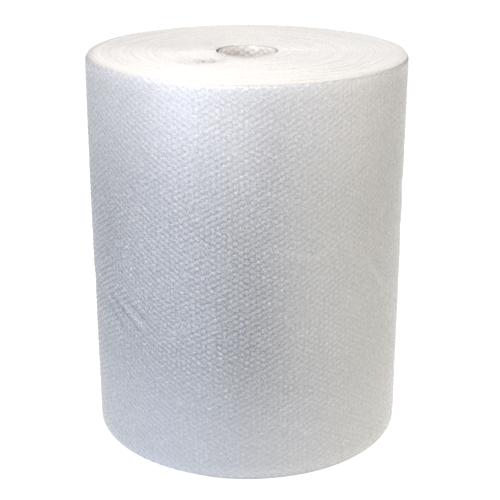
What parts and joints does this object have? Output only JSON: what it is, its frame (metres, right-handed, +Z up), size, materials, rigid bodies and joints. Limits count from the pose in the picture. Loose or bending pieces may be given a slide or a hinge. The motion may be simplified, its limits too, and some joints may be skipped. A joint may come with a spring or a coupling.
{
  "type": "bubble wrap roll",
  "caption": "Full roll of small-bubble packing film standing on its end, wound without a core tube round an open round eye.",
  "frame": {"origin": "middle of the end that the roll stands on, in the plane of the floor", "axes": "+Z up the roll's eye; -Y is the side that faces the viewer; the film's free outer edge is at the back, on +Y"},
  "size_m": [0.6106, 0.612, 0.75],
  "materials": {
    "bubble_film": "translucent clear low-density polyethylene film with pressed air bubbles, white where many turns lie on each other"
  },
  "bodies": {
    "root": {"bubble_film_roll": "bubble_film"}
  },
  "joints": []
}
